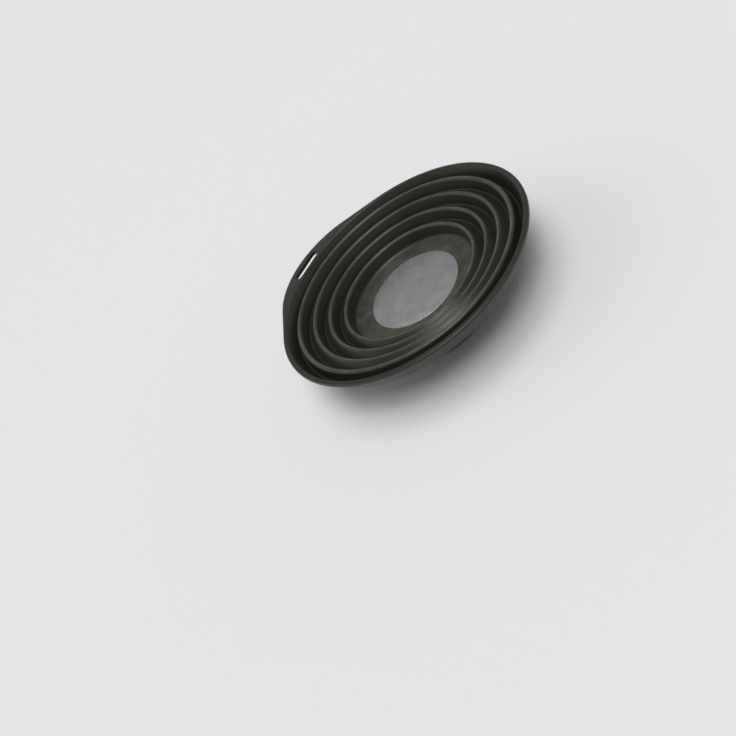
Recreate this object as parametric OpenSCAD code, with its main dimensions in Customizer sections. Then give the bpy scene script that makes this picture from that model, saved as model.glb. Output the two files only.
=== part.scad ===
// Collapsible magnetic parts tray, folded flat.
// Sizes are in millimetres. +Z is up, the origin is the centre of the foot pad's bottom face,
// and the hanging tab points along -X.

/* [Bowl] */
// Diameter over the rim's lip
rim_d = 240; // [216:1:264]
// Height of the rim above the foot with every fold closed
folded_h = 60; // [57:0.5:66]
// Height of the rim above the foot with every fold open
open_h = 115; // [104:0.5:126]
// Diameter of the flat floor
floor_d = 120; // [108:1:130]
// Thickness of the soft floor
floor_wall = 2.5; // [2:0.1:3.5]

/* [Folds] */
// Distance from the lip's edge in to the outer ridge
rim_band = 15.5; // [14:0.5:18]
// Level of the outer ridge below the rim
first_ridge_drop = 2.5; // [1:0.1:4]
// Step down from each ridge to the next one inwards
ridge_step = 4.5; // [3.5:0.1:5]
// Rise of the outer web, from the rim's wall up to the outer ridge
outer_web_rise = 11; // [9:0.1:13]
// Thickness of the stiff rings
ring_wall = 2.2; // [1.6:0.1:2.8]
// How far a stiff ring leans inwards, from its ridge down to its valley
ring_lean = 4.5; // [3:0.1:6]
// How far the innermost wall leans inwards, from its ridge down to the floor
inner_lean = 4; // [3:0.1:6]
// Diameter of the round bead along a ridge
ridge_bead = 3.6; // [3.2:0.1:4.4]
// Diameter of the round bead along a valley
valley_bead = 2.8; // [2.6:0.1:3.2]
// Thickness of the thin webs that turn inside out
web_wall = 1.2; // [0.8:0.1:1.6]
// Gap along the hinge line between a web and its ring
hinge_gap = 0.25; // [0.1:0.05:0.4]

/* [Rim] */
// Thickness of the lip and the hanging tab
lip_wall = 3.4; // [2.6:0.1:4.4]
// How far the lip stands out over the wall below it
lip_overhang = 2; // [1:0.1:3]
// Thickness of the rim's outer wall
rim_wall = 2.6; // [2:0.1:2.7]
// How far the rim's outer wall leans inwards on its way down
rim_lean = 6.5; // [5:0.1:8]

/* [Hanging tab] */
// How far the tab reaches out past the lip
tab_reach = 15; // [13:0.5:20]
// Radius of the tab's round nose
tab_nose_r = 80; // [60:1:95]
// Length of the hanging slot
slot_len = 34; // [26:0.5:40]
// Width of the hanging slot
slot_w = 8; // [6:0.1:8.6]
// Distance of the slot's middle out past the lip
slot_offset = 3; // [2.6:0.1:4]

/* [Base] */
// Diameter of the base housing
base_d = 120; // [112:1:122]
// Height of the base housing's top above the foot
base_h = 29; // [25:0.5:33]
// Thickness of the base housing's side
base_wall = 3; // [2:0.1:4]
// Thickness of the base housing's bottom
base_floor = 2.5; // [2:0.1:3.5]
// Diameter of the foot pad
pad_d = 112; // [100:1:113]
// Thickness of the foot pad
pad_t = 2; // [1.5:0.1:3]
// How far the foot pad stands proud of the housing
pad_proud = 0.6; // [0.3:0.1:1]
// Thickness of the steel plate that backs the floor
floor_plate_t = 2; // [1.5:0.1:3]

/* [Magnet] */
// Diameter of the ring magnet
magnet_d = 85; // [76:1:90]
// Bore of the ring magnet
magnet_bore = 32; // [28:0.5:36]
// Height of the ring magnet
magnet_h = 12; // [10:0.5:14]
// Thickness of the pole plate on the magnet
pole_t = 3; // [2:0.1:4]
// Wall of the retainer and of the rib round the magnet
retainer_wall = 2.5; // [1.5:0.1:3.5]
// Depth to which the retainer's skirt reaches down the magnet
retainer_skirt = 8; // [5:0.5:9]
// Height of the rib that centres the magnet
rib_h = 3; // [2:0.1:4]
// Distance of the retainer's bore in from the edge of the pole plate
ledge_w = 12; // [8:0.5:16]

/* [Label] */
// Diameter of the silver label
label_d = 85; // [76:1:94]
// Thickness of the silver label
label_t = 0.3; // [0.2:0.05:0.5]
// Thickness of the clamp plate under the label
clamp_t = 1; // [0.6:0.1:1.2]

/* [Fasteners] */
// Diameter of the centre stud
stud_d = 6; // [5:0.5:7]
// Width across flats of the lock nut
nut_flats = 10; // [9:0.5:12]
// Height of the lock nut
nut_h = 5.5; // [5:0.1:6.2]
// Diameter of the washer
washer_d = 12.5; // [12:0.5:16]
// Thickness of the washer
washer_t = 1.6; // [1:0.1:2]
// Depth of the nut's pocket above the foot pad
pocket_h = 8; // [7.5:0.5:9]
// Room for a spanner round the nut
spanner_room = 1.5; // [1:0.1:2]
// Thickness of the boss over the nut's pocket
boss_top = 3; // [2:0.1:4]

/* [Clearances] */
// Gap round each piece that sits in another
fit_gap = 0.3; // [0.2:0.05:0.4]
// Gap between the stud and the nut's thread
thread_gap = 0.1; // [0.05:0.01:0.2]
// Gap round the boss in the magnet's bore
boss_gap = 1; // [0.5:0.1:1.5]
// Gap between the stud's end and the foot pad
stud_end_gap = 0.5; // [0.2:0.1:0.8]

/* [Hidden] */
$fn = 180;
folds = 4;

silicone = "#3c3c37";
thin_silicone = "#33332f";
label_silver = "#b2b2b5";
steel = "#8f9296";
zinc = "#b9bcbf";
ferrite = "#2a2a2d";
black_plastic = "#232325";
natural_plastic = "#4a4a4d";
pad_rubber = "#1b1b1b";

// Levels, from the foot up
pocket_top = pad_t + pocket_h;
boss_z = pocket_top + boss_top;
magnet_z = pad_t + base_floor;
pole_z = magnet_z + magnet_h;
ledge_z = pole_z + pole_t;
floor_plate_z = base_h - floor_plate_t;
floor_z = base_h + floor_wall;
label_z = floor_z - label_t;
clamp_z = label_z - clamp_t;
lip_z = folded_h - lip_wall;

// Radii and rises that follow from the driving sizes
rim_r = rim_d / 2;
outer_ridge_r = rim_r - rim_band;
inner_ridge_r = floor_d / 2 + inner_lean;
ridge_pitch = (outer_ridge_r - inner_ridge_r) / (folds - 1);
inner_web_rise = ((open_h - folded_h) / 2 - outer_web_rise) / (folds - 1);
rim_wall_r = rim_r - lip_overhang - rim_wall / 2;
foot_r = floor_d / 2 + ring_wall / 2;
cup_r = base_d / 2 - base_wall;
stud_hole_d = stud_d + 2 * fit_gap;
label_seat_d = label_d + 2 * fit_gap;
nut_corners = nut_flats / cos(30);
pocket_d = max(nut_corners, washer_d) + 2 * spanner_room;

// Section points as [radius, height]: fold 1 is the outer one
function web_rise(fold) = fold == 1 ? outer_web_rise : inner_web_rise;
function ridge(fold) = [
    outer_ridge_r - (fold - 1) * ridge_pitch,
    folded_h - first_ridge_drop - ridge_bead / 2 - (fold - 1) * ridge_step
];
function valley(fold) = [
    fold == 1 ? rim_wall_r - rim_lean : ridge(fold - 1).x - ring_lean,
    ridge(fold).y - web_rise(fold)
];

// Ring swept by a straight strip of the section, from one point to another
module strip_ring(from, to, wall) {
    along = (to - from) / norm(to - from);
    side = [-along.y, along.x] * wall / 2;
    rotate_extrude() polygon([from + side, to + side, to - side, from - side]);
}

// Ring swept by a round bead of the section
module bead_ring(at, d) {
    rotate_extrude() translate(at) circle(d = d);
}

// Stiff wall between two folds, grown by a gap where a web has to clear it
module ring_solid(fold, gap = 0) {
    strip_ring(ridge(fold), valley(fold + 1), ring_wall + 2 * gap);
    bead_ring(ridge(fold), ridge_bead + 2 * gap);
    bead_ring(valley(fold + 1), valley_bead + 2 * gap);
}

// The rim's wall, from inside the lip down to the first valley
module rim_wall_solid(gap = 0) {
    strip_ring([rim_wall_r, lip_z + lip_wall / 2], valley(1), rim_wall + 2 * gap);
    bead_ring(valley(1), valley_bead + 2 * gap);
}

// The innermost wall, which stands on the floor
module inner_solid(gap = 0) {
    difference() {
        union() {
            strip_ring(ridge(folds), [foot_r, floor_z - ring_wall], ring_wall + 2 * gap);
            bead_ring(ridge(folds), ridge_bead + 2 * gap);
        }
        cylinder(r = rim_r, h = floor_z);
    }
}

// Lip seen from above, drawn out to a round nose for the tab
module lip_outline() {
    nose_x = rim_r + tab_reach - tab_nose_r;
    tangent = acos((rim_r - tab_nose_r) / nose_x);
    out = [-cos(tangent), sin(tangent)];
    rim_point = rim_r * out;
    nose_point = [-nose_x, 0] + tab_nose_r * out;
    circle(r = rim_r);
    translate([-nose_x, 0]) circle(r = tab_nose_r);
    polygon([
        rim_point,
        nose_point,
        [nose_point.x, -nose_point.y],
        [rim_point.x, -rim_point.y]
    ]);
}

// Slot with round ends, centred and running along Y
module slot_outline() {
    end_y = (slot_len - slot_w) / 2;
    square([slot_w, 2 * end_y], center = true);
    for (side = [-1, 1]) translate([0, side * end_y]) circle(d = slot_w);
}

// Flat ring or disc standing on a level
module disc(d, h, z, bore = 0) {
    translate([0, 0, z]) linear_extrude(h) difference() {
        circle(d = d);
        if (bore > 0) circle(d = bore);
    }
}

module rim() {
    color(silicone) {
        rim_wall_solid();
        translate([0, 0, lip_z]) linear_extrude(lip_wall) difference() {
            lip_outline();
            circle(r = rim_wall_r - rim_wall / 2);
            translate([-rim_r - slot_offset, 0]) slot_outline();
        }
    }
}

// Thin cone between two walls, cut back to the hinge gap at both ends
module fold_web(fold) {
    color(thin_silicone) difference() {
        strip_ring(valley(fold), ridge(fold), web_wall);
        if (fold == 1) rim_wall_solid(hinge_gap);
        else ring_solid(fold - 1, hinge_gap);
        if (fold == folds) inner_solid(hinge_gap);
        else ring_solid(fold, hinge_gap);
    }
}

module wall_ring(fold) {
    color(silicone) ring_solid(fold);
}

module inner_wall() {
    color(silicone) inner_solid();
}

module bowl_floor() {
    color(silicone) difference() {
        disc(2 * (foot_r + ring_wall / 2), floor_wall, base_h, stud_hole_d);
        disc(label_seat_d, floor_wall, clamp_z);
    }
}

module label_disc() {
    color(label_silver) disc(label_d, label_t, label_z);
}

module clamp_plate() {
    color(steel) disc(label_d, clamp_t, clamp_z);
}

module centre_stud() {
    stud_z = pad_t + stud_end_gap;
    color(zinc) disc(stud_d, clamp_z - stud_z, stud_z);
}

module floor_plate() {
    color(steel) disc(2 * (cup_r - fit_gap), floor_plate_t, floor_plate_z, stud_hole_d);
}

// Moulded ring of even wall: its hub stands on the pole plate, its flange carries the floor plate
// and its skirt reaches down round the magnet
module retainer() {
    hub_bore = magnet_d - 2 * ledge_w;
    skirt_bore = magnet_d + 2 * fit_gap;
    room = floor_plate_z - ledge_z;
    color(natural_plastic) {
        disc(2 * (cup_r - fit_gap), retainer_wall, floor_plate_z - retainer_wall, hub_bore);
        disc(hub_bore + 2 * retainer_wall, room, ledge_z, hub_bore);
        disc(skirt_bore + 2 * retainer_wall, room + retainer_skirt, ledge_z - retainer_skirt, skirt_bore);
    }
}

module pole_plate() {
    color(steel) disc(magnet_d, pole_t, pole_z, stud_hole_d);
}

module magnet_ring() {
    color(ferrite) disc(magnet_d, magnet_h, magnet_z, magnet_bore);
}

// Housing with a rib round the magnet and a hollow boss inside it for the nut
module base_cup() {
    rib_bore = magnet_d + 2 * fit_gap;
    color(black_plastic) {
        difference() {
            disc(base_d, base_h - pad_proud, pad_proud);
            disc(2 * cup_r, base_h, magnet_z);
            disc(pad_d + 2 * fit_gap, pad_t - pad_proud, pad_proud);
            disc(pocket_d, base_floor, pad_t);
        }
        disc(rib_bore + 2 * retainer_wall, rib_h, magnet_z, rib_bore);
        difference() {
            disc(magnet_bore - 2 * boss_gap, boss_z - magnet_z, magnet_z, stud_hole_d);
            disc(pocket_d, pocket_h - base_floor, magnet_z);
        }
    }
}

module washer() {
    color(zinc) disc(washer_d, washer_t, pocket_top - washer_t, stud_hole_d);
}

module lock_nut() {
    nut_z = pocket_top - washer_t - nut_h;
    color(zinc) difference() {
        translate([0, 0, nut_z]) cylinder(d = nut_corners, h = nut_h, $fn = 6);
        disc(stud_d + 2 * thread_gap, nut_h, nut_z);
    }
}

module foot_pad() {
    color(pad_rubber) disc(pad_d, pad_t, 0);
}

rim();
fold_web(1);  // fold_web_1
fold_web(2);  // fold_web_2
fold_web(3);  // fold_web_3
fold_web(4);  // fold_web_4
wall_ring(1);  // wall_ring_1
wall_ring(2);  // wall_ring_2
wall_ring(3);  // wall_ring_3
inner_wall();
bowl_floor();
label_disc();
clamp_plate();
centre_stud();
floor_plate();
retainer();
pole_plate();
magnet_ring();
base_cup();
washer();
lock_nut();
foot_pad();
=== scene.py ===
# %% [markdown]
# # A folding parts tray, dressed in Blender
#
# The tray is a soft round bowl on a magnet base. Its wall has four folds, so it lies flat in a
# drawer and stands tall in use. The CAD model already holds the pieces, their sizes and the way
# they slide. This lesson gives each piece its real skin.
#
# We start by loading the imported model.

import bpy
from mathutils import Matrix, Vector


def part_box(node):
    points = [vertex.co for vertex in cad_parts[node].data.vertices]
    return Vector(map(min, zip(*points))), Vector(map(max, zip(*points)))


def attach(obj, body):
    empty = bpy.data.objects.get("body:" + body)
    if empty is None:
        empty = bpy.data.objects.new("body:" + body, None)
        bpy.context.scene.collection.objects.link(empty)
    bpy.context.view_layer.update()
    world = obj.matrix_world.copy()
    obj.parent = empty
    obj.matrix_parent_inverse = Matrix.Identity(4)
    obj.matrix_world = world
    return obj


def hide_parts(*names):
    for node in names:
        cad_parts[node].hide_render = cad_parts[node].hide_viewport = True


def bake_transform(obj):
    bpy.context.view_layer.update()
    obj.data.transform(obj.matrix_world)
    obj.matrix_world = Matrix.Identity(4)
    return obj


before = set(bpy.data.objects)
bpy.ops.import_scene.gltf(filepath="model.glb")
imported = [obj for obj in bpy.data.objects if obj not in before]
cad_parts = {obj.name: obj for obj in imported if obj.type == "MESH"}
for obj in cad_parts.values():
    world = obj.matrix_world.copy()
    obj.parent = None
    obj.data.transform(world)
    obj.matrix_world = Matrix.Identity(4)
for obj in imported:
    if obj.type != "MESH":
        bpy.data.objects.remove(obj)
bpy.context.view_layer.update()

# %% [markdown]
# ## Tools and units
#
# Blender counts in metres and a maker's drawing in millimetres, so every size below is written in
# millimetres times MM. The Standard view shows a colour about as it is written. Blender's default
# view bleaches it as film does, and then it is hard to compare with the real tray.

# %% Tools and units
import math
from collections import namedtuple

import bmesh
import bpy
from mathutils import Matrix, Vector

MM = 0.001
scene = bpy.context.scene
scene.view_settings.view_transform = "Standard"

# %% [markdown]
# ## One helper for every node tree
#
# Materials and Geometry Nodes are built the same way: make a node, set its choices, then fill its
# inputs with plain values or with the outputs of nodes made before. One small function does all
# of that, so each tree below reads like a list.

# %% Add a node


def add(tree, kind, inputs=None, **choices):
    """Adds a node, sets its choices and fills its inputs with values or with other outputs."""
    node = tree.nodes.new(kind)
    for name, choice in choices.items():
        setattr(node, name, choice)
    for key, value in (inputs or {}).items():
        if isinstance(value, bpy.types.NodeSocket):
            tree.links.new(value, node.inputs[key])
        else:
            node.inputs[key].default_value = value
    return node


print("helper for every node:", add.__name__)

# %% [markdown]
# ## How every finish starts
#
# Colours are written as sRGB hex values, as a colour picker gives them. Blender's sockets hold
# linear light, so one function converts them. Every finish starts from the same surface shader and
# from Object coordinates: these are in metres and stay with the piece when it moves, so a pattern
# keeps its real size and never slides.

# %% Colour, shader and scale


def linear(code):
    """Linear colour, as Blender's sockets hold it, of an sRGB hex code, by the sRGB curve."""
    parts = [int(code[at:at + 2], 16) / 255 for at in (1, 3, 5)]
    curve = [part / 12.92 if part <= 0.04045 else ((part + 0.055) / 1.055) ** 2.4 for part in parts]
    return (*curve, 1.0)


def finish(name):
    """Starts a material: its node tree, its surface shader and its Object coordinates."""
    material = bpy.data.materials.new(name)
    material.use_nodes = True
    tree = material.node_tree
    tree.nodes.clear()
    surface = add(tree, "ShaderNodeBsdfPrincipled")
    add(tree, "ShaderNodeOutputMaterial", {"Surface": surface.outputs["BSDF"]})
    place = add(tree, "ShaderNodeTexCoord").outputs["Object"]
    return material, tree, surface, place


def per_metre(size):
    """Scale of a texture whose features are one size across."""
    return 1 / size


print("the middle grey #808080 is", round(linear("#808080")[0], 3), "in linear light")

# %% [markdown]
# ## What most finishes share
#
# Moulded and rolled surfaces have three things in common. Their colour drifts slowly over a few
# centimetres, their gloss drifts with it, and a fine grain breaks up the highlights. Painting
# these by hand would tie them to one mesh, so they are noise textures sized in millimetres.

# %% Tone, gloss and grain

# Nearly all values of a noise texture lie between these two.
NOISE_LOW, NOISE_HIGH = 0.3, 0.7
# The Mix node lists its sockets for every type of data. These are the ones for colour.
MIX_A, MIX_B, MIXED = 6, 7, 2


def drifting_tone(tree, place, size, dark, light):
    """Colour that drifts between two tones, and the pattern that it follows."""
    drift = add(tree, "ShaderNodeTexNoise", {
        "Vector": place, "Scale": per_metre(size), "Detail": 3.0, "Roughness": 0.6,
    }).outputs["Fac"]
    tone = add(tree, "ShaderNodeMix", {
        "Factor": drift, MIX_A: linear(dark), MIX_B: linear(light),
    }, data_type="RGBA").outputs[MIXED]
    return tone, drift


def drifting_gloss(tree, drift, low, high):
    """Roughness between two limits that follows a pattern."""
    return add(tree, "ShaderNodeMapRange", {
        "Value": drift, "From Min": NOISE_LOW, "From Max": NOISE_HIGH, "To Min": low, "To Max": high,
    }).outputs["Result"]


def fine_grain(tree, place, size, depth):
    """Bump of one grain size and depth."""
    grain = add(tree, "ShaderNodeTexNoise", {
        "Vector": place, "Scale": per_metre(size), "Detail": 2.0,
    }).outputs["Fac"]
    return add(tree, "ShaderNodeBump", {"Height": grain, "Distance": depth}).outputs["Normal"]


print("shared patterns: tone, gloss and grain")

# %% [markdown]
# ## Wear and painted highlights
#
# Hands and loose parts wear the high places of a tray and leave its grooves alone. On the bowl the
# paler tone there is also painted light: a painted highlight along the ridges and the lip, and painted
# light on the floor. Pointiness could find the high places, but it depends on how finely a mesh is
# divided. Here each piece carries a vertex attribute named rub instead: 1 on a crest, less down its
# sides. A noise texture breaks it into patches, because nothing wears evenly.

# %% Wear and painted highlights, and joining the patterns


def worn_and_highlit(tree, place, tone, bare_and_highlight, size):
    """Colour that turns to a paler tone in patches where the rub attribute says so: worn places, and
    on the bowl also a painted highlight.
    """
    rub = add(tree, "ShaderNodeAttribute", attribute_name="rub").outputs["Fac"]
    patch = add(tree, "ShaderNodeTexNoise", {
        "Vector": place, "Scale": per_metre(size), "Detail": 2.0,
    }).outputs["Fac"]
    wear_and_highlight = add(tree, "ShaderNodeMath", {
        0: rub, 1: patch,
    }, operation="MULTIPLY", use_clamp=True).outputs[0]
    colour = add(tree, "ShaderNodeMix", {
        "Factor": wear_and_highlight, MIX_A: tone, MIX_B: linear(bare_and_highlight),
    }, data_type="RGBA").outputs[MIXED]
    return colour, wear_and_highlight


def dress(tree, surface, colour, rough, normal):
    """Joins the three patterns of a finish to its surface shader."""
    tree.links.new(colour, surface.inputs["Base Color"])
    tree.links.new(rough, surface.inputs["Roughness"])
    tree.links.new(normal, surface.inputs["Normal"])


# The attribute marks wear, and on the bowl also painted highlight and painted light.
print("wear follows the vertex attribute rub")

# %% [markdown]
# ## Moulded silicone
#
# The bowl is dyed silicone rubber from a steel mould with a fine matt surface. It is nearly black,
# a little warm, and it scatters light softly. Where it is worn, on top of the ridges, it turns
# smoother and paler; that paler tone is also a painted highlight along the ridges, and on the floor
# it is also painted light. Here and there it holds a speck of dust. Dust could be loose particles.
# A cell texture that shows only the middle of each cell is lighter and looks the same.
#
# The mould's grain is about 0.2 mm on the real bowl. It is drawn at 0.9 mm here, which is as
# fine as the picture can show.

# %% Silicone finish

CLOUD = 38 * MM
# Size of the patches of paler tone: wear, and a painted highlight on the ridges.
RUB_AND_HIGHLIGHT_PATCH = 9 * MM
RUB_ROUGHNESS = -0.2
SILICONE_GRAIN, SILICONE_GRAIN_DEPTH = 0.9 * MM, 0.02 * MM
DUST = "#8f8c82"
DUST_GAP = 6 * MM
DUST_STRENGTH = 0.2
# A speck is solid out to the first share of the gap and gone at the second.
SPECK_SOLID, SPECK_GONE = 0.03, 0.07


def moulded_silicone(name, deep, plain, rubbed_and_highlight):
    """Matt dyed rubber: soft broad highlights, cloudy tone, smoother ridges, paler where worn and with
    a painted highlight.
    """
    material, tree, surface, place = finish(name)
    tone, drift = drifting_tone(tree, place, CLOUD, deep, plain)
    # Paler where worn: wear, plus a painted highlight on the ridges and lip and painted light on the
    # floor.
    colour, wear_and_highlight = worn_and_highlit(tree, place, tone, rubbed_and_highlight, RUB_AND_HIGHLIGHT_PATCH)
    speck = add(tree, "ShaderNodeTexVoronoi", {
        "Vector": place, "Scale": per_metre(DUST_GAP),
    }).outputs["Distance"]
    dust = add(tree, "ShaderNodeMapRange", {
        "Value": speck, "From Min": SPECK_SOLID, "From Max": SPECK_GONE,
        "To Min": DUST_STRENGTH, "To Max": 0.0,
    }).outputs["Result"]
    dusty = add(tree, "ShaderNodeMix", {
        "Factor": dust, MIX_A: colour, MIX_B: linear(DUST),
    }, data_type="RGBA").outputs[MIXED]
    matt = drifting_gloss(tree, drift, low=0.34, high=0.42)
    rough = add(tree, "ShaderNodeMath", {
        0: wear_and_highlight, 1: RUB_ROUGHNESS, 2: matt,
    }, operation="MULTIPLY_ADD").outputs[0]
    grain = fine_grain(tree, place, SILICONE_GRAIN, SILICONE_GRAIN_DEPTH)
    dress(tree, surface, dusty, rough, grain)
    surface.inputs["IOR"].default_value = 1.41
    return material


# The worn tones are wear and also the painted highlight of the ridges and the painted light of the
# floor.
SILICONE = moulded_silicone("moulded_silicone", deep="#1f1f19", plain="#292922", rubbed_and_highlight="#6b6a61")
SILICONE_WEB = moulded_silicone("thin_silicone", deep="#1e1e19", plain="#282821", rubbed_and_highlight="#605f57")
print("finishes:", SILICONE.name, SILICONE_WEB.name)

# %% [markdown]
# ## Calendered foil
#
# The label is a disc of calendered aluminium foil: a dull silver that shows no clear reflection,
# with finger marks and a few hairlines. A picture of scratched metal could be wrapped over it, but
# it would repeat and need a UV map. A noise texture that is stretched along one direction gives
# the hairlines, and only its highest values are kept. They are drawn wider than real ones, so
# that they show.

# %% Label foil

FINGER_MARK = 16 * MM
HAIRLINE = 0.8 * MM
HAIRLINE_TURN = math.radians(35)
HAIRLINE_STRETCH = (0.05, 1.0, 1.0)
HAIRLINE_STRENGTH = 0.5
# Only the noise above these values becomes a hairline.
HAIRLINE_FROM, HAIRLINE_FULL = 0.68, 0.76


def calendered_foil(name):
    """Rolled soft aluminium: a satin silver, with finger marks and hairline scratches."""
    material, tree, surface, place = finish(name)
    tone, drift = drifting_tone(tree, place, size=FINGER_MARK, dark="#c1c1c1", light="#cdcdcc")
    along = add(tree, "ShaderNodeMapping", {
        "Vector": place, "Rotation": (0.0, 0.0, HAIRLINE_TURN), "Scale": HAIRLINE_STRETCH,
    }).outputs[0]
    hair = add(tree, "ShaderNodeTexNoise", {
        "Vector": along, "Scale": per_metre(HAIRLINE), "Detail": 1.0,
    }).outputs["Fac"]
    scratch = add(tree, "ShaderNodeMapRange", {
        "Value": hair, "From Min": HAIRLINE_FROM, "From Max": HAIRLINE_FULL,
        "To Min": 0.0, "To Max": HAIRLINE_STRENGTH,
    }).outputs["Result"]
    colour = add(tree, "ShaderNodeMix", {
        "Factor": scratch, MIX_A: tone, MIX_B: linear("#e3e3e2"),
    }, data_type="RGBA").outputs[MIXED]
    rough = drifting_gloss(tree, drift, low=0.42, high=0.5)
    grain = fine_grain(tree, place, size=0.8 * MM, depth=0.012 * MM)
    dress(tree, surface, colour, rough, grain)
    surface.inputs["Metallic"].default_value = 1.0
    return material


FOIL = calendered_foil("calendered_aluminium_foil")
print("finish:", FOIL.name)

# %% [markdown]
# ## Textured plastic and crumb rubber
#
# The base housing is moulded ABS with a spark-eroded texture, darker and a little glossier than
# the bowl, and scuffed to a paler grey along its edges. The foot pad is cut from rubber sheet with
# a crumbly, dead matt face. Modelling pebbles and crumbs would take millions of faces, so they
# are bump patterns: noise for the pebbles, cells for the crumbs. The pebbles are about three
# times as coarse as real ones, so that they show.

# %% Housing and pad

CRUMB, CRUMB_DEPTH = 2.2 * MM, 0.12 * MM


def textured_abs(name):
    """Black ABS from an eroded mould: satin, finely pebbled, pale on rubbed edges."""
    material, tree, surface, place = finish(name)
    tone, drift = drifting_tone(tree, place, size=25 * MM, dark="#1d1d1f", light="#252528")
    colour, _ = worn_and_highlit(tree, place, tone, bare_and_highlight="#5a5a5e", size=5 * MM)
    rough = drifting_gloss(tree, drift, low=0.42, high=0.52)
    grain = fine_grain(tree, place, size=1.1 * MM, depth=0.05 * MM)
    dress(tree, surface, colour, rough, grain)
    surface.inputs["IOR"].default_value = 1.54
    return material


def crumb_rubber(name):
    """Cut rubber sheet: dead matt, with a grain of pressed crumbs."""
    material, tree, surface, place = finish(name)
    tone, drift = drifting_tone(tree, place, size=12 * MM, dark="#161616", light="#212120")
    crumbs = add(tree, "ShaderNodeTexVoronoi", {
        "Vector": place, "Scale": per_metre(CRUMB),
    }).outputs["Distance"]
    bump = add(tree, "ShaderNodeBump", {"Height": crumbs, "Distance": CRUMB_DEPTH}).outputs["Normal"]
    rough = drifting_gloss(tree, drift, low=0.75, high=0.9)
    dress(tree, surface, tone, rough, bump)
    surface.inputs["IOR"].default_value = 1.52
    return material


HOUSING = textured_abs("textured_black_abs")
PAD = crumb_rubber("crumb_rubber")
print("finishes:", HOUSING.name, PAD.name)

# %% [markdown]
# ## Steel and zinc inside the base
#
# The plates are cold-rolled steel with faint lines along the rolling direction. The stud, the
# washer and the nut are zinc-plated, with a cloudy blue and yellow tint. Brushed lines are often
# made with the anisotropic setting. Stretched noise is chosen because it shows as lines in the
# colour and the bump. The lines are drawn wider than real ones.

# %% Plate and plating

ROLLED_ALONG_X = (0.04, 1.0, 1.0)


def rolled_steel(name):
    """Cold-rolled plate: satin grey metal with fine lines along X."""
    material, tree, surface, place = finish(name)
    along = add(tree, "ShaderNodeMapping", {"Vector": place, "Scale": ROLLED_ALONG_X}).outputs[0]
    tone, drift = drifting_tone(tree, along, size=1.5 * MM, dark="#84878b", light="#999ca0")
    rough = drifting_gloss(tree, drift, low=0.3, high=0.42)
    grain = fine_grain(tree, along, size=0.7 * MM, depth=0.01 * MM)
    dress(tree, surface, tone, rough, grain)
    surface.inputs["Metallic"].default_value = 1.0
    return material


def zinc_plate(name):
    """Passivated zinc: bright metal under a cloudy tint."""
    material, tree, surface, place = finish(name)
    tone, drift = drifting_tone(tree, place, size=4 * MM, dark="#a9b2bd", light="#c4bfa9")
    rough = drifting_gloss(tree, drift, low=0.24, high=0.36)
    grain = fine_grain(tree, place, size=0.5 * MM, depth=0.01 * MM)
    dress(tree, surface, tone, rough, grain)
    surface.inputs["Metallic"].default_value = 1.0
    return material


STEEL = rolled_steel("cold_rolled_steel")
ZINC = zinc_plate("zinc_plated_steel")
print("finishes:", STEEL.name, ZINC.name)

# %% [markdown]
# ## Nylon and ferrite inside the base
#
# The retainer is grey glass-filled nylon with flow marks from the mould, and the magnet is dull
# sintered ferrite. All the pieces inside the base show only when it is taken apart. Their CAD
# shapes are right already, since they are plates, rings and a nut, so they stay and only get
# a finish each.

# %% Nylon, ferrite and the inner pieces

FLOW_ALONG_Y = (1.0, 0.3, 1.0)


def grey_nylon(name):
    """Glass-filled nylon: matt grey with streaks where it flowed in the mould."""
    material, tree, surface, place = finish(name)
    streak = add(tree, "ShaderNodeMapping", {"Vector": place, "Scale": FLOW_ALONG_Y}).outputs[0]
    tone, drift = drifting_tone(tree, streak, size=10 * MM, dark="#424245", light="#525256")
    rough = drifting_gloss(tree, drift, low=0.5, high=0.64)
    grain = fine_grain(tree, place, size=0.8 * MM, depth=0.04 * MM)
    dress(tree, surface, tone, rough, grain)
    surface.inputs["IOR"].default_value = 1.53
    return material


def sintered_ferrite(name):
    """Pressed and fired ferrite: charcoal grey, dull, with a ground grain."""
    material, tree, surface, place = finish(name)
    tone, drift = drifting_tone(tree, place, size=6 * MM, dark="#222226", light="#303034")
    rough = drifting_gloss(tree, drift, low=0.55, high=0.7)
    grain = fine_grain(tree, place, size=0.6 * MM, depth=0.05 * MM)
    dress(tree, surface, tone, rough, grain)
    surface.inputs["IOR"].default_value = 1.6
    return material


INNER_FINISH = {
    "clamp_plate": STEEL, "floor_plate": STEEL, "pole_plate": STEEL,
    "centre_stud": ZINC, "washer": ZINC, "lock_nut": ZINC,
    "retainer": grey_nylon("grey_nylon"),
    "magnet_ring": sintered_ferrite("sintered_ferrite"),
}
for node, material in INNER_FINISH.items():
    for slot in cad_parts[node].material_slots:
        slot.material = material
print("inner pieces finished:", ", ".join(INNER_FINISH))

# %% [markdown]
# ## Turning a section round the axis
#
# Every soft piece of the bowl is round, so its shape follows one rule: take a section and turn it
# about the Z axis. The Spin tool or the Screw modifier could do it. A small Geometry Nodes tree is
# chosen because its sizes stay named inputs, and because it can do more on the way.

# %% Inputs of the lathe

LATHE = bpy.data.node_groups.new("Turn a section", "GeometryNodeTree")
LATHE.interface.new_socket("Skin", in_out="OUTPUT", socket_type="NodeSocketGeometry")
for name, kind in {
    "Section": "Geometry", "Segments": "Int", "Wave height": "Float",
    "Wave length": "Float", "Finish": "Material",
}.items():
    LATHE.interface.new_socket(name, in_out="INPUT", socket_type="NodeSocket" + kind)
LATHE_INPUT = {
    item.name: item.identifier for item in LATHE.interface.items_tree if item.in_out == "INPUT"
}
given = add(LATHE, "NodeGroupInput").outputs
print("lathe inputs:", ", ".join(LATHE_INPUT))

# %% [markdown]
# The tree lays out a grid with one column for each point of the section and one row for each step
# of the turn. A grid point's index tells its row and column. The column gives the point of the
# section, the row gives the angle, and together they give its place on the turned surface.

# %% Place every grid point

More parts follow.
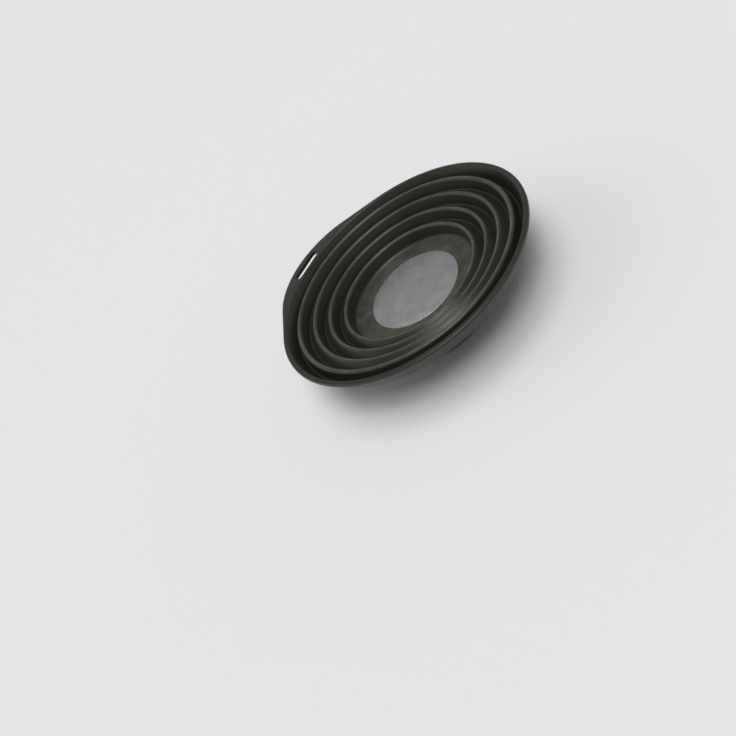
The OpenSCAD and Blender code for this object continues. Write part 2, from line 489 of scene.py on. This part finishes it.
points = add(LATHE, "GeometryNodeAttributeDomainSize", {
    "Geometry": given["Section"],
}).outputs["Point Count"]
rows = add(LATHE, "FunctionNodeIntegerMath", {0: given["Segments"], 1: 1}).outputs[0]
grid = add(LATHE, "GeometryNodeMeshGrid", {
    "Vertices X": rows, "Vertices Y": points,
}).outputs["Mesh"]
index = add(LATHE, "GeometryNodeInputIndex").outputs[0]
row = add(LATHE, "FunctionNodeIntegerMath", {
    0: index, 1: points,
}, operation="DIVIDE_FLOOR").outputs[0]
column = add(LATHE, "FunctionNodeIntegerMath", {
    0: index, 1: points,
}, operation="MODULO").outputs[0]
step = add(LATHE, "ShaderNodeMath", {
    0: math.tau, 1: given["Segments"],
}, operation="DIVIDE").outputs[0]
angle = add(LATHE, "ShaderNodeMath", {0: row, 1: step}, operation="MULTIPLY").outputs[0]
spot = add(LATHE, "GeometryNodeSampleIndex", {
    "Geometry": given["Section"], "Index": column,
    "Value": add(LATHE, "GeometryNodeInputPosition").outputs[0],
}, data_type="FLOAT_VECTOR").outputs[0]
turned_spot = add(LATHE, "ShaderNodeVectorRotate", {
    "Vector": spot, "Angle": angle,
}, rotation_type="Z_AXIS").outputs[0]
print("nodes that place the grid:", len(LATHE.nodes))

# %% [markdown]
# A soft moulding is never perfectly true, so the tree adds a slow wave of a tenth of a millimetre.
# The wave depends only on the place in space, so neighbouring pieces still meet. Then the rub of
# the section, which marks wear and painted highlight, is handed on to the skin, and the first and
# the last row are welded together.

# %% Wave, rub and weld

NOISE_MIDDLE = (0.5, 0.5, 0.5)
WELD = 0.002 * MM

tightness = add(LATHE, "ShaderNodeMath", {
    0: 1.0, 1: given["Wave length"],
}, operation="DIVIDE").outputs[0]
noise = add(LATHE, "ShaderNodeTexNoise", {
    "Vector": turned_spot, "Scale": tightness, "Detail": 0.0,
}).outputs["Color"]
swing = add(LATHE, "ShaderNodeVectorMath", {
    0: noise, 1: NOISE_MIDDLE,
}, operation="SUBTRACT").outputs[0]
wave = add(LATHE, "ShaderNodeVectorMath", {
    0: swing, "Scale": given["Wave height"],
}, operation="SCALE").outputs[0]
skin = add(LATHE, "GeometryNodeSetPosition", {
    "Geometry": grid, "Position": turned_spot, "Offset": wave,
}).outputs[0]
# The rub, the mask of wear and painted highlight, goes from the section to the skin.
rub = add(LATHE, "GeometryNodeSampleIndex", {
    "Geometry": given["Section"], "Index": column,
    "Value": add(LATHE, "GeometryNodeInputNamedAttribute", {"Name": "rub"}).outputs[0],
}).outputs[0]
skin = add(LATHE, "GeometryNodeStoreNamedAttribute", {
    "Geometry": skin, "Name": "rub", "Value": rub,
}).outputs[0]
skin = add(LATHE, "GeometryNodeMergeByDistance", {"Geometry": skin, "Distance": WELD}).outputs[0]
skin = add(LATHE, "GeometryNodeSetShadeSmooth", {"Geometry": skin}).outputs[0]
skin = add(LATHE, "GeometryNodeRealizeInstances", {"Geometry": skin}).outputs[0]
skin = add(LATHE, "GeometryNodeSetMaterial", {
    "Geometry": skin, "Material": given["Finish"],
}).outputs[0]
add(LATHE, "NodeGroupOutput", {0: skin})
print("nodes in the lathe:", len(LATHE.nodes))

# %% [markdown]
# ## From section to finished piece
#
# The modifier's inputs are set by their identifiers before the piece is first evaluated. Then the
# result is copied into a plain mesh and the modifier goes, because the exported tray can't
# carry node trees. The last lines turn the faces outwards and keep real corners crisp.

# %% Settle a piece

CRISP = math.radians(38)


def settle(piece):
    """Bakes a piece's modifiers, turns its faces outwards and marks its real corners."""
    graph = bpy.context.evaluated_depsgraph_get()
    mesh = bpy.data.meshes.new_from_object(piece.evaluated_get(graph))
    piece.modifiers.clear()
    piece.data = mesh
    shape = bmesh.new()
    shape.from_mesh(mesh)
    if shape.calc_volume(signed=True) < 0:
        bmesh.ops.reverse_faces(shape, faces=shape.faces)
    shape.to_mesh(mesh)
    shape.free()
    mesh.set_sharp_from_angle(angle=CRISP)
    mesh.name = piece.name


print("corners sharper than", round(math.degrees(CRISP)), "degrees stay crisp")

# %% [markdown]
# A section is a list of points, each with a radius, a height and its rub, which marks wear and
# painted highlight. A section that doesn't start and end on the axis is closed into a loop, so that
# turning it gives a closed skin.

# %% Turn one piece

SEGMENTS = 240
WAVE_LENGTH = 45 * MM


def turned(name, section, material, wave=0.0):
    """Piece made by turning a section of (radius, height, rub) about the Z axis; the rub marks worn
    places and painted highlight.
    """
    first, last = section[0], section[-1]
    if first[0] > 0 or last[0] > 0:
        section = [*section, first]
    mesh = bpy.data.meshes.new(name)
    mesh.from_pydata([(radius, 0, height) for radius, height, _ in section], [], [])
    rub = mesh.attributes.new("rub", "FLOAT", "POINT")
    rub.data.foreach_set("value", [spot[2] for spot in section])
    piece = bpy.data.objects.new(name, mesh)
    scene.collection.objects.link(piece)
    lathe = piece.modifiers.new("Lathe", "NODES")
    lathe.node_group = LATHE
    lathe[LATHE_INPUT["Segments"]] = SEGMENTS
    lathe[LATHE_INPUT["Wave height"]] = wave
    lathe[LATHE_INPUT["Wave length"]] = WAVE_LENGTH
    lathe[LATHE_INPUT["Finish"]] = material
    settle(piece)
    print(name, "faces:", len(piece.data.polygons))
    return piece


print("each turn has", SEGMENTS, "steps")

# %% [markdown]
# ## The section of the folded wall
#
# Seen in section, the wall is a band that runs over the ridges and under the grooves, like a belt
# over and under round pins. A curve could be drawn by hand, but then each ridge has to be drawn
# again when a size changes. With pins the section needs only where each one is and how round.
# A pin with a positive radius lies under the band and makes a ridge, one with a negative radius
# lies over it and makes a groove. The straight stretches are the common tangents of
# neighbouring pins, which keeps every joint of the curve smooth.
#
# The pins' places come from the boxes of the CAD nodes.

# %% Places of the ridges and valleys

RINGS = ("wall_ring_1", "wall_ring_2", "wall_ring_3", "inner_wall")
# A ridge of the CAD model reaches this far out from the middle of its crest.
CAD_CREST = 1.8 * MM
VALLEY_ROUND = 1.4 * MM
# The valley under the rim lies this far in from the lip, the others this far in from their ridge.
OUTER_VALLEY_IN = 9.8 * MM
RING_LEAN = 4.5 * MM

rim_low, rim_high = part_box("rim")
floor_low, floor_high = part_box("bowl_floor")
lip_r, lip_top = rim_high.x, rim_high.z
ridges = [(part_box(ring)[1].x - CAD_CREST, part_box(ring)[1].z) for ring in RINGS]
valley_r = [lip_r - OUTER_VALLEY_IN] + [radius - RING_LEAN for radius, _ in ridges[:-1]]
valley_z = [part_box(node)[0].z + VALLEY_ROUND for node in ("rim", *RINGS[:-1])]
print("ridges in mm:", [(round(r / MM, 1), round(z / MM, 1)) for r, z in ridges])

# %% [markdown]
# Two rows of pins are needed, because the wall has a thickness: one row for the face that looks
# into the bowl, and one for the face below. Both have a pin at each groove and each ridge. The
# upper row also has the inner edge of the lip at its start and the fillet at the floor at its end.

# %% Pins of the wall

Pin = namedtuple("Pin", "r z round rub")
CREST_ROUND = 2.5 * MM
CREST_WALL = 2.2 * MM
GROOVE_ROUND = 1.0 * MM
# A groove's upper pin lies this far in from its lower pin, and this far above it.
OUTER_GROOVE_IN, OUTER_GROOVE_UP = 0.5 * MM, 4.3 * MM
GROOVE_IN, GROOVE_UP = 1.2 * MM, 2.6 * MM
LIP_BAND = 4.6 * MM
LIP_EDGE = 1.5 * MM
FOOT_ROUND = 3 * MM
FOOT_IN = 4.6 * MM
# Rub on the lip, the crests and the floor: wear, and also a painted highlight on lip and crests and
# painted light on the floor.
LIP_RUB_AND_HIGHLIGHT, CREST_RUB_AND_HIGHLIGHT, FLOOR_RUB_AND_LIGHT = 0.12, 1.0, 0.55

over = [Pin(lip_r - LIP_BAND + LIP_EDGE, lip_top - LIP_EDGE, LIP_EDGE, LIP_RUB_AND_HIGHLIGHT)]
under = []
for fold, (ridge_r, ridge_top) in enumerate(ridges):
    inset, lift = (GROOVE_IN, GROOVE_UP) if fold else (OUTER_GROOVE_IN, OUTER_GROOVE_UP)
    crest_z = ridge_top - CREST_ROUND
    over.append(Pin(valley_r[fold] - inset, valley_z[fold] + lift, -GROOVE_ROUND, 0.0))
    over.append(Pin(ridge_r, crest_z, CREST_ROUND, CREST_RUB_AND_HIGHLIGHT))
    under.append(Pin(valley_r[fold], valley_z[fold], -VALLEY_ROUND, 0.0))
    under.append(Pin(ridge_r, crest_z, CREST_ROUND - CREST_WALL, 0.0))
over.append(Pin(floor_high.x - FOOT_IN, floor_high.z + FOOT_ROUND, -FOOT_ROUND, FLOOR_RUB_AND_LIGHT))
print("pins of the upper face:", len(over), "and of the lower face:", len(under))

# %% [markdown]
# Each piece of the wall reaches from the top or bottom of one pin to that of the next. There the
# band is level, so two neighbouring pieces meet without a visible kink. One more point close to
# the cut keeps the shading level as well.

# %% Band between two pins

UPRIGHT = math.pi / 2
ARC_STEP = math.radians(7)
# The extra point lies at this share of the first step.
NEAR_CUT = 0.06
STRAIGHT_STEPS = 14


def tangent_direction(one, other):
    """Direction of the normal on the common tangent of two pins."""
    way = Vector((other.r - one.r, other.z - one.z))
    lean = (one.round - other.round) / way.length
    way.normalize()
    normal = way * lean + Vector((way.y, -way.x)) * math.sqrt(1 - lean * lean)
    return math.atan2(normal.y, normal.x)


def half_arc(pin, direction):
    """Points on a pin from its level cut round to a direction, with the rub, for worn places and
    painted highlight, that they get.
    """
    turn = direction - UPRIGHT
    steps = max(2, round(abs(turn) / ARC_STEP))
    shares = [0, NEAR_CUT / steps] + [step / steps for step in range(1, steps + 1)]
    points = []
    for share in shares:
        angle = UPRIGHT + turn * share
        # Wear and painted highlight: strongest on the crest's top, fading down its sides.
        rub = pin.rub * (1 - share) ** 2
        points.append((pin.r + pin.round * math.cos(angle), pin.z + pin.round * math.sin(angle), rub))
    return points


def band(one, other):
    """Points of the band from the cut on one pin to the cut on the next."""
    direction = tangent_direction(one, other)
    start = half_arc(one, direction)
    end = half_arc(other, direction)[::-1]
    (r0, z0, _), (r1, z1, _) = start[-1], end[0]
    shares = [step / STRAIGHT_STEPS for step in range(1, STRAIGHT_STEPS)]
    straight = [(r0 + (r1 - r0) * share, z0 + (z1 - z0) * share, 0.0) for share in shares]
    return start + straight + end


print("points from the lip to the first groove:", len(band(over[0], over[1])))

# %% [markdown]
# ## Webs
#
# A thin web joins two bodies: when a fold opens, one edge of the web goes up with the outer ring
# and the web turns inside out.

# %% Make the webs

WAVE = 0.22 * MM
BODIES = ("rim_ring", "ring_1", "ring_2", "ring_3", "base")
WEBS = ("fold_web_1", "fold_web_2", "fold_web_3", "fold_web_4")

for fold, node in enumerate(WEBS):
    groove, crest = over[1 + 2 * fold], over[2 + 2 * fold]
    valley, hollow = under[2 * fold], under[2 * fold + 1]
    web_section = band(groove, crest) + band(valley, hollow)[::-1]
    web = turned(f"web_{fold + 1}_skin", web_section, SILICONE_WEB, WAVE)
    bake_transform(web)
    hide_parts(node)

# %% [markdown]
# ## Rings
#
# A stiff ring reaches from its ridge down to the next groove and rides on its own body. It could
# be one mesh with the webs, as it is one moulding, but then the ring would bend with them. The
# innermost wall isn't in this loop, because it also has to meet the floor.

# %% Make the rings

for fold in range(len(RINGS) - 1):
    top = band(over[2 + 2 * fold], over[3 + 2 * fold])
    bottom = band(under[1 + 2 * fold], under[2 + 2 * fold])
    ring = turned(f"ring_{fold + 1}_skin", top + bottom[::-1], SILICONE, WAVE)
    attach(ring, BODIES[fold + 1])
    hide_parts(RINGS[fold])

# %% [markdown]
# ## Corners with a radius
#
# The other turned pieces are simpler: their sections have straight sides and rounded corners.
# A Bevel modifier would give all corners of a piece one radius. Here each corner is given with its
# own radius, and is swapped for a tangent arc whose rub is highest in its middle: wear, and on the
# silicone pieces also painted highlight.

# %% Rounded sections

CORNER_STEPS = 6


def rounded(*corners):
    """Section through corners of (radius, height, round), each one swapped for a tangent arc."""
    section = []
    for at, (radius, height, round_r) in enumerate(corners):
        here = Vector((radius, height))
        if round_r == 0:
            section.append((radius, height, 0.0))
            continue
        back = (Vector(corners[at - 1][:2]) - here).normalized()
        ahead = (Vector(corners[(at + 1) % len(corners)][:2]) - here).normalized()
        half = back.angle(ahead) / 2
        centre = here + (back + ahead).normalized() * (round_r / math.sin(half))
        start = (here + back * (round_r / math.tan(half)) - centre).normalized()
        end = (here + ahead * (round_r / math.tan(half)) - centre).normalized()
        for step in range(CORNER_STEPS + 1):
            spot = centre + start.slerp(end, step / CORNER_STEPS) * round_r
            # The rub peaks in the arc's middle: wear, and on silicone also a painted highlight.
            section.append((spot.x, spot.y, math.sin(math.pi * step / CORNER_STEPS)))
    return section


print("points on a rounded corner:", CORNER_STEPS + 1)

# %% [markdown]
# ## The wall round the floor
#
# The innermost wall runs down from the last ridge and turns into the floor in a small fillet,
# where loose parts can't get stuck. A Boolean union with the floor and a bevel could make the
# fillet. It is already the last pin of the band, so the section only has to be closed outside.

# %% Make the inner wall

floor_top, floor_under = floor_high.z, floor_low.z
foot = over[-1]

wall_inside = band(over[-2], foot)
wall_outside = [
    (foot.r, floor_under, 0.0),
    (floor_high.x, floor_under, 0.0),
    (floor_high.x, floor_top, 0.0),
    *half_arc(under[-1], math.pi)[::-1],
]
inner_wall = turned("inner_wall_skin", wall_inside + wall_outside, SILICONE, WAVE)
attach(inner_wall, "base")
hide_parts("inner_wall")

# %% [markdown]
# ## The floor
#
# The floor is a soft disc with a hole for the stud and a shallow seat for the label, with a soft
# edge. A disc with an inset face would look the same from above. The whole section is turned, so
# that the floor is also right when it is taken out.

# %% Make the floor

SEAT_EDGE = 0.4 * MM
SEAT_GAP = 0.3 * MM

label_low, label_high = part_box("label_disc")
clamp_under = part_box("clamp_plate")[0].z
hole_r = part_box("centre_stud")[1].x + SEAT_GAP
seat_r = label_high.x + SEAT_GAP
floor_section = rounded(
    (foot.r, floor_under, 0),
    (foot.r, floor_top, 0),
    (seat_r, floor_top, SEAT_EDGE),
    (seat_r, clamp_under, 0),
    (hole_r, clamp_under, 0),
    (hole_r, floor_under, 0),
)
# The whole floor gets at least this rub: partly wear from loose parts, partly painted light on the
# floor.
floor_section = [(radius, height, max(rub, FLOOR_RUB_AND_LIGHT)) for radius, height, rub in floor_section]
bowl_floor = turned("floor_skin", floor_section, SILICONE, WAVE)
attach(bowl_floor, "base")
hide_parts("bowl_floor")

# %% [markdown]
# ## The rim
#
# The rim is turned like the other rings: a flat lip with round edges on a thin wall that leans in
# to the first groove. The lip is gripped flat by the whole hand and wears far less than the
# ridges, so its rub is scaled down; on the lip's edges that rub is wear and a faint painted highlight.

# %% Turn the rim

LIP_CORNER = 1.3 * MM
LIP_WALL = 3.4 * MM
LIP_OVERHANG = 2 * MM
# The part of the lip that the tab pushes out starts this far inside its rounded edge.
TAB_START = 0.2 * MM

lip_under = lip_top - LIP_WALL
edge_r = lip_r - LIP_CORNER
wall_top = Pin(lip_r - LIP_OVERHANG, lip_under, 0.0, 0.0)
lip_outside = rounded(
    (edge_r - TAB_START, lip_under, 0),
    (edge_r, lip_under, 0),
    (lip_r, lip_under, LIP_CORNER),
    (lip_r, lip_top, LIP_CORNER),
    (edge_r - TAB_START, lip_top, 0),
)
rim_section = [
    *band(over[0], over[1]),
    *half_arc(under[0], tangent_direction(wall_top, under[0])),
    (wall_top.r, wall_top.z, 0.0),
    # The lip's round edges: faint wear and a faint painted highlight line.
    *[(radius, height, rub * LIP_RUB_AND_HIGHLIGHT) for radius, height, rub in lip_outside],
]
rim = turned("rim_skin", rim_section, SILICONE, WAVE)

# %% [markdown]
# ## The hanging tab
#
# The tab is one piece with the lip. A separate plate could be joined on with a Boolean, but it
# would leave a seam in the shading. So the outer edge of the turned lip is pushed out over one
# stretch. The outline of the tab is a round nose that two tangents join to the lip, so the push at
# each angle is a short formula.

# %% Push out the tab

TAB_NOSE = 80 * MM

nose_x = -rim_low.x - TAB_NOSE
tangent = math.acos((lip_r - TAB_NOSE) / nose_x)
nose_end = math.atan2(TAB_NOSE * math.sin(tangent), nose_x + TAB_NOSE * math.cos(tangent))


def outline_radius(turn):
    """Radius of the lip's outline at an angle from the middle of the tab."""
    if turn >= tangent:
        return lip_r
    if turn > nose_end:
        return lip_r / math.cos(tangent - turn)
    return nose_x * math.cos(turn) + math.sqrt(TAB_NOSE ** 2 - (nose_x * math.sin(turn)) ** 2)


for vertex in rim.data.vertices:
    radius = math.hypot(vertex.co.x, vertex.co.y)
    if radius > edge_r - TAB_START / 2:
        turn = math.atan2(abs(vertex.co.y), -vertex.co.x)
        reach = (radius + outline_radius(turn) - lip_r) / radius
        vertex.co.x *= reach
        vertex.co.y *= reach
print("tab reaches", round(-min(v.co.x for v in rim.data.vertices) / MM, 1), "mm")

# %% [markdown]
# ## The slot in the tab
#
# A peg or a hook goes through the slot. It is cut with a Boolean, because the lip's mesh has no
# edges along it. The cutter flares out at the top and the bottom, like a router bit, so the
# slot's edges come out round.

# %% Shape the slot's cutter

SLOT_LEN = 34 * MM
SLOT_W = 8 * MM
SLOT_OUT = 3 * MM
SLOT_EDGE = 0.6 * MM
SLOT_POINTS = 24
FLARE_ANGLES = (84, 70, 56, 42, 28, 14, 0)


def slot_loop(grow):
    """Outline of the slot, grown all round."""
    half = SLOT_W / 2
    straight = SLOT_LEN / 2 - half
    loop = []
    for end in (1, -1):
        for step in range(SLOT_POINTS + 1):
            angle = math.pi * step / SLOT_POINTS + (0 if end > 0 else math.pi)
            x = (half + grow) * math.cos(angle) - lip_r - SLOT_OUT
            loop.append((x, (half + grow) * math.sin(angle) + end * straight))
    return loop


def slot_levels():
    """Heights of the cutter from below the tab to above it, and how much it is grown there."""
    turns = [math.radians(angle) for angle in FLARE_ANGLES]
    flare = [(SLOT_EDGE * (1 - math.sin(turn)), SLOT_EDGE * (1 - math.cos(turn))) for turn in turns]
    levels = [(lip_under - SLOT_EDGE, SLOT_EDGE)]
    levels += [(lip_under + depth, grow) for depth, grow in flare]
    levels += [(lip_top - depth, grow) for depth, grow in flare[::-1]]
    levels += [(lip_top + SLOT_EDGE, SLOT_EDGE)]
    return levels


def slot_cutter():
    """Closed tool for the slot, flared at both faces of the tab."""
    shape = bmesh.new()
    rings = [[shape.verts.new((x, y, z)) for x, y in slot_loop(grow)] for z, grow in slot_levels()]
    count = len(rings[0])
    for low, high in zip(rings, rings[1:]):
        for at in range(count):
            shape.faces.new((low[at], low[(at + 1) % count], high[(at + 1) % count], high[at]))
    shape.faces.new(rings[0][::-1])
    shape.faces.new(rings[-1])
    mesh = bpy.data.meshes.new("slot_cutter")
    mesh.materials.append(SILICONE)
    shape.to_mesh(mesh)
    shape.free()
    cutter = bpy.data.objects.new("slot_cutter", mesh)
    scene.collection.objects.link(cutter)
    return cutter


cutter = slot_cutter()
print("cutter faces:", len(cutter.data.polygons))

# %% [markdown]
# The cut is settled like the turned pieces: baked into the mesh, with the modifier and the cutter
# gone before the rim is handed to its body. The new faces in the slot are flat-shaded at first,
# so all faces are set smooth once more.

# %% Cut the slot

cut = rim.modifiers.new("Slot", "BOOLEAN")
cut.object = cutter
cut.solver = "EXACT"
settle(rim)
bpy.data.objects.remove(cutter)
for face in rim.data.polygons:
    face.use_smooth = True
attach(rim, "rim_ring")
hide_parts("rim")
print("rim faces:", len(rim.data.polygons))

# %% [markdown]
# ## Label
#
# The label is a thin disc with a rounded edge, which catches a fine line of light. It is left bare.
# A cylinder with a Bevel would do. It is turned like the rest, because then only the upper edge
# gets a radius and the lower one lies tight in its seat.

# %% Make the label

LABEL_EDGE = 0.22 * MM

label = turned("label_face", rounded(
    (0, label_high.z, 0),
    (label_high.x, label_high.z, LABEL_EDGE),
    (label_high.x, label_low.z, 0),
    (0, label_low.z, 0),
), FOIL)

# %% [markdown]
# ## Base housing
#
# The housing is a cup that is closed by the bowl's floor. Inside it has a rib that centres the
# magnet and a hollow boss for the nut, so it is worth turning the whole section and not only the
# outside. The corners run up the outside, down into the cup, over the rib and the boss, and back
# through the nut's pocket and the pad's recess.

# %% Make the housing

SOFT, CRISP_EDGE, TIGHT = 0.9 * MM, 0.4 * MM, 0.2 * MM
CUP_WALL = 3 * MM
CUP_FLOOR = 2.5 * MM
RIB_WALL = 2.5 * MM
RIB_H = 3 * MM
BOSS_R = 15 * MM
BOSS_TOP = 13 * MM
POCKET_R = 7.75 * MM
POCKET_TOP = 10 * MM

cup_low, cup_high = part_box("base_cup")
pad_low, pad_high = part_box("foot_pad")
cup_r, cup_bore = cup_high.x, cup_high.x - CUP_WALL
cup_floor = pad_high.z + CUP_FLOOR
rib_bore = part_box("magnet_ring")[1].x + SEAT_GAP
recess_r = pad_high.x + SEAT_GAP

housing = turned("housing_skin", rounded(
    (cup_r, cup_low.z, SOFT),
    (cup_r, cup_high.z, CRISP_EDGE),
    (cup_bore, cup_high.z, CRISP_EDGE),
    (cup_bore, cup_floor, SOFT),
    (rib_bore + RIB_WALL, cup_floor, CRISP_EDGE),
    (rib_bore + RIB_WALL, cup_floor + RIB_H, CRISP_EDGE),
    (rib_bore, cup_floor + RIB_H, CRISP_EDGE),
    (rib_bore, cup_floor, TIGHT),
    (BOSS_R, cup_floor, CRISP_EDGE),
    (BOSS_R, BOSS_TOP, CRISP_EDGE),
    (hole_r, BOSS_TOP, TIGHT),
    (hole_r, POCKET_TOP, TIGHT),
    (POCKET_R, POCKET_TOP, CRISP_EDGE),
    (POCKET_R, pad_high.z, TIGHT),
    (recess_r, pad_high.z, TIGHT),
    (recess_r, cup_low.z, TIGHT),
), HOUSING)

# %% [markdown]
# ## Foot pad
#
# The pad is a disc cut from rubber sheet and stuck into the recess under the housing. It spares
# the surface that the tray clings to. Its lower edge is rounder than its upper one, because the
# lower one wears. Label, housing and pad don't move against each other, so one loop lets them
# all ride on the base.

# %% Make the pad

pad = turned("pad_skin", rounded(
    (0, pad_high.z, 0),
    (pad_high.x, pad_high.z, TIGHT),
    (pad_high.x, pad_low.z, CRISP_EDGE),
    (0, pad_low.z, 0),
), PAD)
for piece, node, slot_name in (
    (label, "label_disc", "label_foil"),
    (housing, "base_cup", "black_plastic"),
    (pad, "foot_pad", "pad_rubber"),
):
    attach(piece, "base")
    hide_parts(node)

# %% [markdown]
# ## The camera
#
# The picture looks down into the bowl from the side opposite the tab, and the camera is tilted to
# one side. It could be placed by eye in the viewport. Here it is worked out, so that it is the same
# each time: three angles give its directions, and the aim point, its pixel in the picture and
# the scale there give its place and its lens.

# %% Camera

# The picture's side is in pixels and the sensor's in millimetres, as Blender counts it.
PHOTO_SIDE = 736
SENSOR = 36
AIM = Vector((0, 0, 45 * MM))
AIM_PIXEL = (405.9, 278.3)
PIXELS_PER_METRE = 1187
DISTANCE = 680 * MM
AZIMUTH, ELEVATION, ROLL = (math.radians(angle) for angle in (66.3, 36.0, 44.2))
CLIP_NEAR, CLIP_FAR = 0.01, 100

level = Vector((math.cos(AZIMUTH), math.sin(AZIMUTH), 0))
back = Vector((
    math.sin(AZIMUTH) * math.cos(ELEVATION),
    -math.cos(AZIMUTH) * math.cos(ELEVATION),
    math.sin(ELEVATION),
))
upward = back.cross(level)
right = level * math.cos(ROLL) - upward * math.sin(ROLL)
top = level * math.sin(ROLL) + upward * math.cos(ROLL)
eye = AIM + back * DISTANCE
eye -= right * ((AIM_PIXEL[0] - PHOTO_SIDE / 2) / PIXELS_PER_METRE)
eye -= top * ((PHOTO_SIDE / 2 - AIM_PIXEL[1]) / PIXELS_PER_METRE)

camera = bpy.data.objects.new("camera", bpy.data.cameras.new("camera"))
camera.data.sensor_width = SENSOR
camera.data.lens = PIXELS_PER_METRE * DISTANCE * SENSOR / PHOTO_SIDE
camera.matrix_world = Matrix.Translation(eye) @ Matrix((right, top, back)).transposed().to_4x4()
camera.data.clip_start = CLIP_NEAR
camera.data.clip_end = CLIP_FAR
scene.collection.objects.link(camera)
scene.camera = camera
print("lens:", round(camera.data.lens, 1), "mm")

# %% [markdown]
# ## The table
#
# A photographer would stand the tray on a white table. A plane with a curved-up back edge is usual,
# but it looks right from one side only. A plain disc that reaches to the horizon is right from
# every side. It is a little grey, so that the light on it doesn't burn out and the shadow shows.

# %% Floor

# In metres: so wide that its edge lies on the horizon in every view.
FLOOR_R = 60.0
FLOOR_SIDES = 96

pale, _, surface, _ = finish("pale_floor")
surface.inputs["Base Color"].default_value = linear("#e0e0e1")
surface.inputs["Roughness"].default_value = 0.9
mesh = bpy.data.meshes.new("floor")
shape = bmesh.new()
bmesh.ops.create_circle(shape, cap_ends=True, radius=FLOOR_R, segments=FLOOR_SIDES)
shape.to_mesh(mesh)
shape.free()
mesh.materials.append(pale)
ground = bpy.data.objects.new("floor", mesh)
scene.collection.objects.link(ground)
print("floor:", round(2 * FLOOR_R), "m across")

# %% [markdown]
# ## The room
#
# The room round the table has pale walls and a dim ceiling. It could be a picture of a studio all
# round. Two colours that pass into each other with the height are enough here: the walls lighten
# the bowl's sides, and the dim ceiling keeps the flat lip dark and leaves the highlights to the
# lamps.

# %% World

# Heights in the world run from 0 at the horizon to 1 overhead.
WALL_TOP, CEILING_FROM = 0.2, 0.48

world = bpy.data.worlds.new("studio")
scene.world = world
world.use_nodes = True
tree = world.node_tree
tree.nodes.clear()
toward = add(tree, "ShaderNodeTexCoord").outputs["Generated"]
height = add(tree, "ShaderNodeSeparateXYZ", {0: toward}).outputs["Z"]
ceiling = add(tree, "ShaderNodeMapRange", {
    "Value": height, "From Min": WALL_TOP, "From Max": CEILING_FROM,
}, interpolation_type="SMOOTHSTEP").outputs["Result"]
room = add(tree, "ShaderNodeMix", {
    "Factor": ceiling, MIX_A: linear("#e4e4e5"), MIX_B: linear("#77787a"),
}, data_type="RGBA").outputs[MIXED]
light = add(tree, "ShaderNodeBackground", {"Color": room, "Strength": 1.0}).outputs[0]
add(tree, "ShaderNodeOutputWorld", {"Surface": light})
print("world nodes:", len(tree.nodes))

# %% [markdown]
# ## Softboxes
#
# There are three: a big one overhead, a lower one on the camera's side that draws the lines of
# light along the ridges, and a weak fill from the tab's side that opens the shadows. Area lamps
# would light the middle of the table more than its edge. Sun lamps with a wide angle light it
# evenly and cast the same soft shadows.

# %% Lamps


def softbox(name, azimuth, elevation, width, strength):
    """Wide sun lamp that shines on the tray from a direction given in degrees."""
    lamp = bpy.data.lights.new(name, "SUN")
    lamp.angle = math.radians(width)
    lamp.energy = strength
    turn, rise = math.radians(azimuth), math.radians(elevation)
    source = Vector((math.cos(turn) * math.cos(rise), math.sin(turn) * math.cos(rise), math.sin(rise)))
    box = bpy.data.objects.new(name, lamp)
    box.rotation_euler = source.to_track_quat("Z", "Y").to_euler()
    scene.collection.objects.link(box)


softbox("overhead", azimuth=-30, elevation=84, width=40, strength=1.25)
softbox("key", azimuth=-25, elevation=57, width=24, strength=1.2)
softbox("fill", azimuth=215, elevation=32, width=50, strength=0.4)
print("lamps:", [item.name for item in bpy.data.lights])
